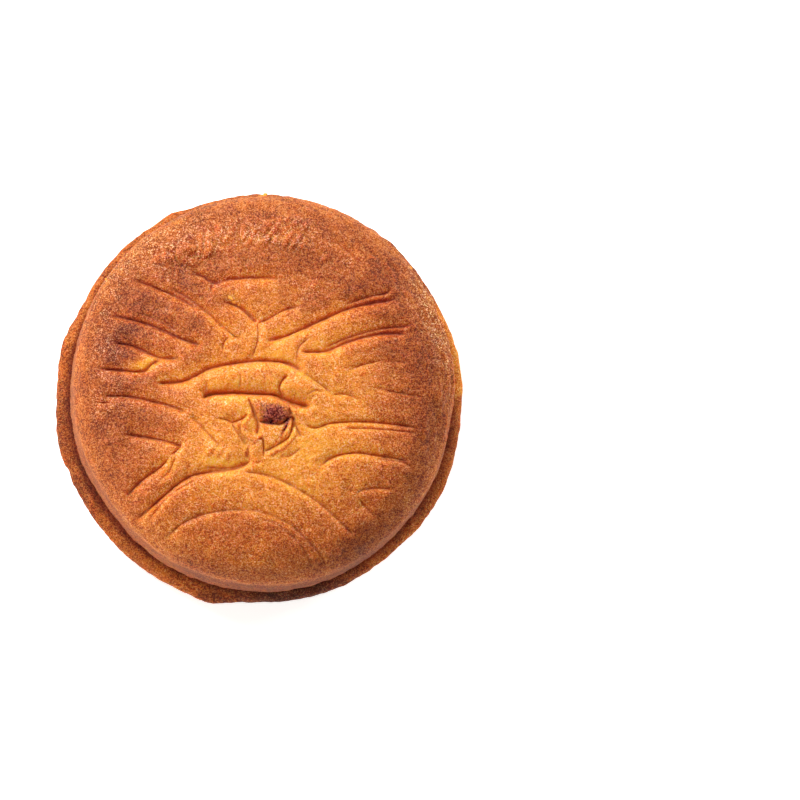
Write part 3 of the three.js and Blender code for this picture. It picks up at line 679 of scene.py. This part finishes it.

# Spots of painted highlight, where more of the grain is painted pale as glints of light, in the same way.
PAINTED_HIGHLIGHT_SPOTS = [
    (30, 13, 2.4, 10, 20, 1),
    (-24, 22, 10, 3, 42, 0.45),
    (-1, 26.3, 11, 1.6, 0, 0.35),
    (-14, 26.5, 8, 3, 22, 0.3),
    (-26, -3, 3, 3, 0, 0.2),
    (-28, 5, 2.5, 11, 0, 0.35),
    (-1, 3.2, 8, 0.8, 0, 0.4),
    (-6.5, -2.7, 4, 0.8, 0, 0.35),
    (0, -2.8, 3, 0.8, -5, 0.4),
    (1.3, -8, 2.4, 1.3, 0, 0.35),
    (-8.4, -11.3, 3, 1.5, 0, 0.35),
    (-6.6, 8.2, 1.2, 0.6, 20, 0.5),
    (5.2, 17.6, 1.2, 0.5, -40, 0.5),
    (8.5, 17, 0.8, 0.7, -45, 0.5),
    (7.3, 15.5, 0.8, 0.3, 15, 0.5),
    (14.4, 22.2, 1.3, 0.7, -20, 0.5),
    (13.8, 20.2, 0.7, 0.5, 0, 0.5),
    (-7.7, 18.3, 1.6, 0.6, 25, 0.5),
]

PALE_MIDDLE = (1, -4.5)  # the palest place of the crown
MIDDLE_BROWNING = 0.2
RIM_BROWNING = 0.36  # how much browner the crust is towards the rim
RIM_REACHES = (8, 30)  # how far from the pale middle that begins and is full
BLOTCHES = [(5, 11, 0.08), (2, 23, 0.06)]  # at random: their size, seed and strength
BED_PALENESS = 0.3  # how much paler a crease is per millimetre of depth
DEEPEST_PALE = 0.5  # no paler below this depth
LOWER_SHOULDER_SHADE = 0.1  # how much browner the lower shoulder is painted, as shade
LOWER_SHOULDER_SHADE_DEGREES = (252, 300, 14)  # where that is round the cake, and how softly it ends
LOWER_SHOULDER_SHADE_REACHES = (31.5, 40, 2.5)  # where it is in the net
FOOT_BROWNING = 0.1
FOOT_LIGHT_AND_SHADE_ARCS = [  # where the foot is painted darker as shade at the bottom and paler as light on its sides, as arcs() takes them
    (262, 292, 14, 0.22),
    (95, 170, 12, -0.1),
    (222, 262, 10, -0.12),
    (295, 355, 15, -0.16),
    (3, 26, 6, -0.35),
]


def browning(net, points):
    """How brown the crust is, from 0 for pale gold to 1 for scorched, with painted light and shade in
    places.
    """
    reach, angle = polar(net)
    degrees = np.degrees(angle) % 360
    x, y = points[:, 0], points[:, 1]
    from_middle = np.hypot(x - PALE_MIDDLE[0], y - PALE_MIDDLE[1])
    on_crown = reach < CREASES_END[1]
    brown = MIDDLE_BROWNING + RIM_BROWNING * smooth(from_middle, *RIM_REACHES)
    brown += patches(PATCHES, x, y) * on_crown
    brown += sum(strength * noise_at(points, size, seed) for size, seed, strength in BLOTCHES)
    brown -= BED_PALENESS * np.clip(crease_depth(x, y), 0, DEEPEST_PALE) * on_crown
    brown += LOWER_SHOULDER_SHADE * window(degrees, *LOWER_SHOULDER_SHADE_DEGREES) * window(reach, *LOWER_SHOULDER_SHADE_REACHES)
    return brown + smooth(reach, *FOOT_STARTS) * arcs(degrees, FOOT_LIGHT_AND_SHADE_ARCS, FOOT_BROWNING)


# ---- building the crust


def vertex_normals(points, faces):
    """The unit normal at each vertex of a mesh of triangles and quads."""
    normals = np.zeros_like(points)
    for size in (3, 4):
        corners = np.array([f for f in faces if len(f) == size])
        a, b, c = points[corners[:, 0]], points[corners[:, 1]], points[corners[:, -1]]
        cross = np.cross(b - a, c - a)
        for i in range(size):
            np.add.at(normals, corners[:, i], cross)
    return normals / np.maximum(np.linalg.norm(normals, axis=1, keepdims=True), 1e-12)


def shown(name, mesh, material):
    """A new object that shows this mesh in this material."""
    mesh.materials.append(material)
    thing = bpy.data.objects.new(name, mesh)
    bpy.context.collection.objects.link(thing)
    return thing


def add_attribute(mesh, name, values):
    """Gives the mesh one number per vertex, for the material to read."""
    attribute = mesh.attributes.new(name, "FLOAT", "POINT")
    attribute.data.foreach_set("value", np.asarray(values, np.float32))


BASE_BROWNING = 0.6  # of the flat base
BUMP_PAINTED_HIGHLIGHT = 0.9  # how much painted highlight the bumps under the top rim get
NOOK_WIDTH = 1.1  # how far the nook goes out from the wall
NOOK_ARCS = [(305, 350, 12, 1.1)]  # where it goes farther, as arcs() takes them


def nook(reach, points):
    """How much painted shade each point gets in the nook where the foot meets the wall."""
    radius, angle = polar(points)
    end = arcs(np.degrees(angle) % 360, NOOK_ARCS, BODY_RADIUS + NOOK_WIDTH)
    shade = smooth(reach, *NOOK_STARTS) * (1 - smooth(radius, BODY_RADIUS, end))
    return shade * (reach < FOOT_END)


def build_crust(material):
    """The crust with its fine relief, and the values that its material reads."""
    points, faces, net = cake_mesh()
    skin = points[: len(net)]
    x, y = skin[:, 0], skin[:, 1]

    def whole(values, rest=0.0):
        """The skin's values, with one value for all points of the flat base."""
        return np.concatenate([values, np.full(len(points) - len(net), rest)])

    reach = whole(polar(net)[0], NET_RADIUS)
    crown = 1 - smooth(reach[: len(net)], *CREASES_END)
    looks = {
        "browning": whole(browning(net, skin), BASE_BROWNING),
        # the fine cuts and the beds of the creases, for their painted shade
        "line": whole(crease_line(x, y) * crown),
        "bed": whole(crease_depth(x, y) * crown),
        "scorch": whole(patches(SCORCHES, x, y) * crown),
    }
    normals = vertex_normals(points, faces)[: len(net)]
    depth = fine_relief(net, skin) * (1 - smooth(reach[: len(net)], *RELIEF_ENDS))
    skin += normals * depth[:, None]
    points[:, 2] = np.maximum(points[:, 2], 0)
    # the painted highlights and the painted shade of the nook are placed on the finished surface
    looks["painted_highlight"] = whole(patches(PAINTED_HIGHLIGHT_SPOTS, x, y) * (crown > 0) + BUMP_PAINTED_HIGHLIGHT * rim_bumps(net))
    looks["gloss"] = 1 - smooth(reach, *GLOSS_ENDS)
    looks["rim"] = smooth(reach, *RIM_STARTS)
    looks["wall"] = smooth(reach, *WALL_TINT_STARTS) * (1 - smooth(reach, *FOOT_STARTS))
    looks["nook"] = nook(reach, points)

    mesh = bpy.data.meshes.new("crust")
    mesh.from_pydata((points * MM).tolist(), [], faces)
    mesh.shade_smooth()
    for name, values in looks.items():
        add_attribute(mesh, name, values)
    return shown("crust", mesh, material)


# ---- materials


class Nodes:
    """A short way to write a node material."""

    def __init__(self, name):
        self.material = bpy.data.materials.new(name)
        self.material.use_nodes = True
        self.tree = self.material.node_tree
        self.shader = self.tree.nodes["Principled BSDF"]
        self.place = self.add("ShaderNodeTexCoord").outputs["Object"]

    def add(self, kind, **values):
        """A new node, with these values for its sockets and its settings."""
        node = self.tree.nodes.new(kind)
        for key, value in values.items():
            if key in node.inputs:
                self.plug(node.inputs[key], value)
            else:
                setattr(node, key, value)
        return node

    def plug(self, socket, value):
        """Links another node's output to a socket, or sets its value."""
        if isinstance(value, bpy.types.NodeSocket):
            self.tree.links.new(value, socket)
        else:
            socket.default_value = value

    def put(self, name, value):
        """The same for the shader's socket of this name."""
        self.plug(self.shader.inputs[name], value)

    def attribute(self, name):
        return self.add("ShaderNodeAttribute", attribute_name=name).outputs["Fac"]

    def noise(self, size_mm, detail=2, roughness=0.5, tall=1):
        """Smooth noise with features of this size, so many times as tall as wide."""
        place = self.add("ShaderNodeMapping", Vector=self.place, Scale=(1, 1, 1 / tall))
        sizes = dict(Scale=1 / (size_mm * MM), Detail=detail, Roughness=roughness)
        node = self.add("ShaderNodeTexNoise", Vector=place.outputs["Vector"], **sizes)
        return node.outputs["Fac"]

    def math(self, operation, a, b, clamp=False):
        node = self.add("ShaderNodeMath", operation=operation, use_clamp=clamp)
        for socket, value in zip(node.inputs, (a, b)):
            self.plug(socket, value)
        return node.outputs[0]

    def times(self, a, b):
        return self.math("MULTIPLY", a, b)

    def stretch(self, value, low, high, to_low=0, to_high=1):
        """The value, with low to high stretched to the other two numbers and held there."""
        node = self.add("ShaderNodeMapRange", clamp=True)
        for socket, number in zip(node.inputs, (value, low, high, to_low, to_high)):
            self.plug(socket, number)
        return node.outputs["Result"]

    def ramp(self, value, stops):
        """The colour that belongs to a value."""
        node = self.add("ShaderNodeValToRGB", Fac=value)
        elements = node.color_ramp.elements
        while len(elements) < len(stops):
            elements.new(0.5)
        for element, (position, colour) in zip(elements, stops):
            element.position = position
            element.color = (*srgb(colour), 1)
        return node.outputs["Color"]

    def mix(self, share, a, b, blend="MIX"):
        node = self.add("ShaderNodeMix", data_type="RGBA", blend_type=blend, Factor=share)
        colours = [s for s in node.inputs if s.type == "RGBA"]
        for socket, value in zip(colours, (a, b)):
            self.plug(socket, value)
        return [s for s in node.outputs if s.type == "RGBA"][0]

    def tint(self, share, colour, tint):
        return self.mix(share, colour, (*srgb(tint), 1), "MULTIPLY")

    def bump(self, height, distance_mm, normal=None):
        node = self.add("ShaderNodeBump", Height=height, Distance=distance_mm * MM, Strength=1)
        if normal is not None:
            self.plug(node.inputs["Normal"], normal)
        return node.outputs["Normal"]


def srgb(colour):
    """A colour of 0 to 255 per channel, as the linear values that Blender takes."""
    return [
        (c / 255 / 12.92) if c <= 10.3 else ((c / 255 + 0.055) / 1.055) ** 2.4 for c in colour
    ]


# Colours from 0 to 255, by how brown the crust is, and tints that are multiplied into them.
CRUST_COLOURS = [  # between the pores
    (0, (236, 172, 56)), (0.2, (222, 143, 43)), (0.42, (194, 107, 34)),
    (0.62, (166, 82, 30)), (0.82, (118, 52, 24)), (1, (80, 32, 18)),
]
PORE_COLOURS = [  # in the pores
    (0, (212, 106, 30)), (0.3, (162, 64, 24)), (0.6, (90, 30, 20)), (1, (56, 20, 16)),
]
CUT_SHADE_COLOURS = [(0.15, (214, 106, 54)), (0.4, (170, 72, 56)), (0.8, (92, 36, 34))]  # painted shade in the fine cuts of creases
SCORCH_COLOURS = [(0.36, (56, 8, 12)), (0.5, (128, 48, 42)), (0.64, (190, 108, 86))]  # at random
# painted highlight: the pale colour of the glints
PAINTED_GLINT_COLOUR = (255, 222, 190)
# painted shade: warm tints multiplied into the beds and the cuts of creases
BED_SHADE_TINT = (240, 176, 220)
CUT_SHADE_TINT = (205, 145, 165)
RIM_TINT = (244, 246, 208)
WALL_TINT = (216, 198, 154)
NOOK_SHADE_TINT = (150, 70, 66)

# Sizes of the noise in the material, in millimetres.
FINE_SPECKS, COARSE_SPECKS = 0.2, 0.42
SPECK_TALL = 2  # how much longer the specks are up the wall than round it
FINE_SHARE, COARSE_SHARE = 0.6, 0.4
BLOTCH_SIZE, BLOTCH_SHARE = 1.5, 0.3
HIGHLIGHT_BREAK_SIZE = 1.8
SCORCH_EDGE, SCORCH_GRAIN = 0.5, 0.32
BULGE_SIZE, BULGE_HEIGHT = 0.8, 0.1
PIT_DEPTH, GLAZE_PIT_DEPTH = 0.2, 0.08

# How one value follows from another, as Nodes.stretch() takes it.
PORE_LEVEL = (0, 0.8, 0.56, 0.46)  # of the grain, by the browning: above it lies a pore
PORE_EDGE = (0, 0.07)  # how far above that level a pore is full
HIGHLIGHT_GAPS = (0.4, 0.62, 0.15, 1.3)  # the painted highlight, by the noise that breaks it up
PAINTED_GLINT_SHARE = (0.2, 0.6, 0.6, 0.12)  # the share of grains painted pale as glints of light, by the browning
PAINTED_GLINT_LEVEL = (0.47, 0.36)  # of the grain: below it a grain is painted pale as a glint of light
BED_SHADE_SHARE = (0.2, 1.2, 0, 0.5)  # the painted shade tint of a crease's bed, by its depth
SCORCH_ENDS = (0, 0.2)  # where a scorch begins
SCORCH_RAGGED = (0.1, 0.8)  # where it begins once its edge is ragged
ROUGHNESS = (0, 1, 0.8, 0.5)  # by the gloss
GLAZE = (0.3, 0.65, 0.1, 0.02)  # the coat, by the browning

PORE_SHARE = 0.9
CUT_SHADE_COLOUR_SHARE, CUT_SHADE_TINT_SHARE = 0.65, 0.3
NOOK_SHADE_SHARE = 0.8
SUBSURFACE_MM = 2.8


def skin_grain(n):
    """The specks of the browned skin, in two sizes."""
    fine = n.noise(FINE_SPECKS, 1, 0.6, SPECK_TALL)
    coarse = n.noise(COARSE_SPECKS, 2, 0.6, SPECK_TALL)
    return n.math("ADD", n.times(fine, FINE_SHARE), n.times(coarse, COARSE_SHARE))


def skin_browning(n):
    """How brown the skin is, from the mesh, with small blotches at random."""
    blotches = n.times(n.math("SUBTRACT", n.noise(BLOTCH_SIZE, 2), 0.5), BLOTCH_SHARE)
    return n.math("ADD", n.attribute("browning"), blotches, clamp=True)


def skin_colour(n, grain, brown):
    """Browned skin with dark pores, more of them the browner it is, and painted glints: pale specks of
    highlight.
    """
    above = n.math("SUBTRACT", grain, n.stretch(brown, *PORE_LEVEL))
    pores = n.times(n.stretch(above, *PORE_EDGE), PORE_SHARE)
    colour = n.mix(pores, n.ramp(brown, CRUST_COLOURS), n.ramp(brown, PORE_COLOURS))
    # painted highlights: pale glints mixed into the grain's colour, more of them on the painted highlight
    # spots
    gaps = n.stretch(n.noise(HIGHLIGHT_BREAK_SIZE, 2), *HIGHLIGHT_GAPS)
    painted_highlight = n.times(n.attribute("painted_highlight"), gaps)
    painted_glint_amount = n.math("ADD", n.stretch(brown, *PAINTED_GLINT_SHARE), painted_highlight, clamp=True)
    painted_glints = n.times(n.stretch(grain, *PAINTED_GLINT_LEVEL), painted_glint_amount)
    return n.mix(painted_glints, colour, (*srgb(PAINTED_GLINT_COLOUR), 1))


def with_creases(n, colour, brown):
    """The colour with painted shade in the creases: a warm tint over their beds and dark colour in their
    fine cuts.
    """
    colour = n.tint(n.stretch(n.attribute("bed"), *BED_SHADE_SHARE), colour, BED_SHADE_TINT)
    line = n.attribute("line")
    colour = n.mix(n.times(line, CUT_SHADE_COLOUR_SHARE), colour, n.ramp(brown, CUT_SHADE_COLOURS))
    return n.tint(n.times(line, CUT_SHADE_TINT_SHARE), colour, CUT_SHADE_TINT)


def with_scorches(n, colour):
    """The colour with the ragged scorched spots of the sunken centre."""
    scorch = n.attribute("scorch")
    ragged = n.math("ADD", scorch, n.math("SUBTRACT", n.noise(SCORCH_EDGE, 2), 0.5))
    inside, torn = n.stretch(scorch, *SCORCH_ENDS), n.stretch(ragged, *SCORCH_RAGGED)
    burnt = n.ramp(n.noise(SCORCH_GRAIN, 2), SCORCH_COLOURS)
    return n.mix(n.times(inside, torn), colour, burnt)


def crust_material():
    n = Nodes("crust")
    grain = skin_grain(n)
    brown = skin_browning(n)
    colour = skin_colour(n, grain, brown)
    colour = with_creases(n, colour, brown)
    colour = with_scorches(n, colour)
    colour = n.tint(n.attribute("rim"), colour, RIM_TINT)
    colour = n.tint(n.attribute("wall"), colour, WALL_TINT)
    # painted shade in the nook where the foot meets the wall
    colour = n.tint(n.times(n.attribute("nook"), NOOK_SHADE_SHARE), colour, NOOK_SHADE_TINT)
    n.put("Base Color", colour)
    gloss = n.attribute("gloss")
    n.put("Roughness", n.stretch(gloss, *ROUGHNESS))
    n.put("Specular IOR Level", 0.15)
    n.put("Subsurface Weight", 0.8)
    n.put("Subsurface Radius", (1.0, 0.2, 0.06))
    n.put("Subsurface Scale", SUBSURFACE_MM * MM)
    # the pores are small pits between the raised pale grains
    raised = n.math("SUBTRACT", 1, grain)
    uneven = n.bump(n.noise(BULGE_SIZE, 3), BULGE_HEIGHT)
    n.put("Normal", n.bump(raised, PIT_DEPTH, uneven))
    # a thin egg glaze over the crown
    glaze = n.times(gloss, n.stretch(brown, *GLAZE))
    n.put("Coat Weight", glaze)
    n.put("Coat Roughness", 0.22)
    n.put("Coat Normal", n.bump(raised, GLAZE_PIT_DEPTH, uneven))
    return n.material


CRUMB_COLOURS = [(0.3, (224, 130, 36)), (0.7, (250, 180, 70))]  # at random


def crumb_material():
    n = Nodes("crumb")
    n.put("Base Color", n.ramp(n.noise(0.3), CRUMB_COLOURS))
    n.put("Roughness", 0.8)
    n.put("Normal", n.bump(n.noise(0.2), 0.05))
    return n.material


# ---- crumbs

# Each crumb: where it clings in the net (reach, degrees), its length, width and height, and
# its turn in degrees.
CRUMBS = [
    ((35.6, 89.8), (2.3, 0.6, 0.6), 70),
    ((35.2, 90.6), (1.1, 0.7, 0.5), 0),
    ((34.2, 40), (0.9, 0.6, 0.5), 10),
    ((34.5, 145), (0.6, 0.5, 0.4), 0),
    ((16.6, 111.5), (0.9, 0.6, 0.4), -30),
    ((15.7, 110), (0.7, 0.5, 0.35), 10),
    ((15, 107.5), (0.5, 0.4, 0.3), 50),
]
CRUMB_DENTS = 0.7  # their depth, as a share of the crumb's size
CRUMB_DENT_COUNT = 3.1  # about how many lie along a crumb
CRUMB_APART = 7  # in the noise, so that no two crumbs are alike


def build_crumbs(material):
    """Small irregular flakes that cling to the crust."""
    work = bmesh.new()
    for number, ((reach, degrees), (length, width, height), turn) in enumerate(CRUMBS):
        around = math.radians(degrees)
        net = np.array([[math.cos(around), math.sin(around)]]) * reach
        place = crust(net)[0]
        made = bmesh.ops.create_icosphere(work, subdivisions=3, radius=0.5)["verts"]
        spin = Matrix.Rotation(math.radians(turn), 4, "Z")
        for vertex in made:
            spot = vertex.co * CRUMB_DENT_COUNT + Vector((number * CRUMB_APART, 0, 0))
            rough = 1 + CRUMB_DENTS * noise.noise(spot)
            shaped = vertex.co * rough
            shaped = spin @ Vector((shaped.x * length, shaped.y * width, shaped.z * height))
            vertex.co = (shaped + Vector(place)) * MM
    mesh = bpy.data.meshes.new("crumbs")
    work.to_mesh(mesh)
    work.free()
    mesh.shade_smooth()
    return shown("crumbs", mesh, material)


# ---- stage, lights and camera

FLOOR_REACH = 3.0  # metres from the middle to each side
FLOOR_COLOURS = [(0, (250, 250, 250)), (1, (255, 255, 255))]
FLOOR_GLOW, FLOOR_GLOW_STRENGTH = (0.94, 0.98, 1, 1), 0.7

LIGHT_TARGET = (0, 0, 0.03)
LIGHTS = [  # name, place in metres, width and height, watts, colour
    ("key", (-0.6, 0.72, 0.85), (0.55, 0.55), 20.4, (1, 1, 1)),
    ("left_strip", (-0.85, -0.2, 0.3), (0.25, 0.8), 1.2, (1, 0.88, 0.74)),
    ("low_left", (-0.76, -0.48, 0.12), (0.25, 0.25), 3.1, (1, 0.86, 0.72)),
    ("right_strip", (0.7, 0.45, 0.35), (0.1, 0.4), 4, (1, 1, 1)),
]
SKY_COLOUR, SKY_STRENGTH = (1, 0.87, 0.75, 1), 0.35

IMAGE_SIZE = 800  # pixels across and down
PIXEL = 0.174 * MM  # of the crown
CROWN_PLACE = (265.2, 386.8)  # where the crown's middle shows in the image
FAR = 1.21  # from the camera to the crown
LEAN = (-1.5, -3.5)  # of the camera from straight above, in degrees, towards +X and +Y
SENSOR = 36  # millimetres
CLIP = (0.05, 20)  # metres, near and far


def build_floor():
    mesh = bpy.data.meshes.new("floor")
    far, near = FLOOR_REACH, -FLOOR_REACH
    corners = [(near, near, 0), (far, near, 0), (far, far, 0), (near, far, 0)]
    mesh.from_pydata(corners, [], [(0, 1, 2, 3)])
    n = Nodes("floor")
    n.put("Base Color", n.ramp(n.noise(40), FLOOR_COLOURS))
    n.put("Roughness", 0.9)
    n.put("Emission Color", FLOOR_GLOW)
    n.put("Emission Strength", FLOOR_GLOW_STRENGTH)
    return shown("floor", mesh, n.material)


def aimed(thing, place, target):
    """Puts a light or camera at a place, turned to its target, with +Y at its top."""
    back = (Vector(place) - Vector(target)).normalized()
    right = Vector((0, 1, 0)).cross(back).normalized()
    up = back.cross(right)
    turn = Matrix((right, up, back)).transposed().to_4x4()
    thing.matrix_world = Matrix.Translation(place) @ turn
    bpy.context.collection.objects.link(thing)
    return thing


def soft_light(name, place, size, watts, colour):
    light = bpy.data.lights.new(name, "AREA")
    light.shape = "RECTANGLE"
    light.size, light.size_y = size
    light.energy = watts
    light.color = colour
    aimed(bpy.data.objects.new(name, light), place, LIGHT_TARGET)


def light_scene():
    world = bpy.data.worlds.new("studio")
    world.use_nodes = True
    background = world.node_tree.nodes["Background"]
    background.inputs["Color"].default_value = SKY_COLOUR
    background.inputs["Strength"].default_value = SKY_STRENGTH
    bpy.context.scene.world = world
    for light in LIGHTS:
        soft_light(*light)


def place_camera():
    camera = bpy.data.cameras.new("camera")
    camera.sensor_width = SENSOR
    camera.lens = SENSOR * FAR / (IMAGE_SIZE * PIXEL)
    camera.clip_start, camera.clip_end = CLIP
    middle = Vector((0, 0, HEIGHT * MM))
    lean = [math.sin(math.radians(degrees)) for degrees in LEAN]
    place = middle + Vector((*lean, 1)).normalized() * FAR
    # the image's middle lies right of the crown's and a little lower
    centre = IMAGE_SIZE / 2
    aim = middle + Vector((centre - CROWN_PLACE[0], CROWN_PLACE[1] - centre, 0)) * PIXEL
    bpy.context.scene.camera = aimed(bpy.data.objects.new("camera", camera), place, aim)


# ---- the scene

crust_piece = build_crust(crust_material())
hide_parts("mooncake")
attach(crust_piece, "root")

crumbs_piece = build_crumbs(crumb_material())
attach(crumbs_piece, "root")

build_floor()
light_scene()
place_camera()
bpy.context.scene.view_settings.view_transform = "Standard"
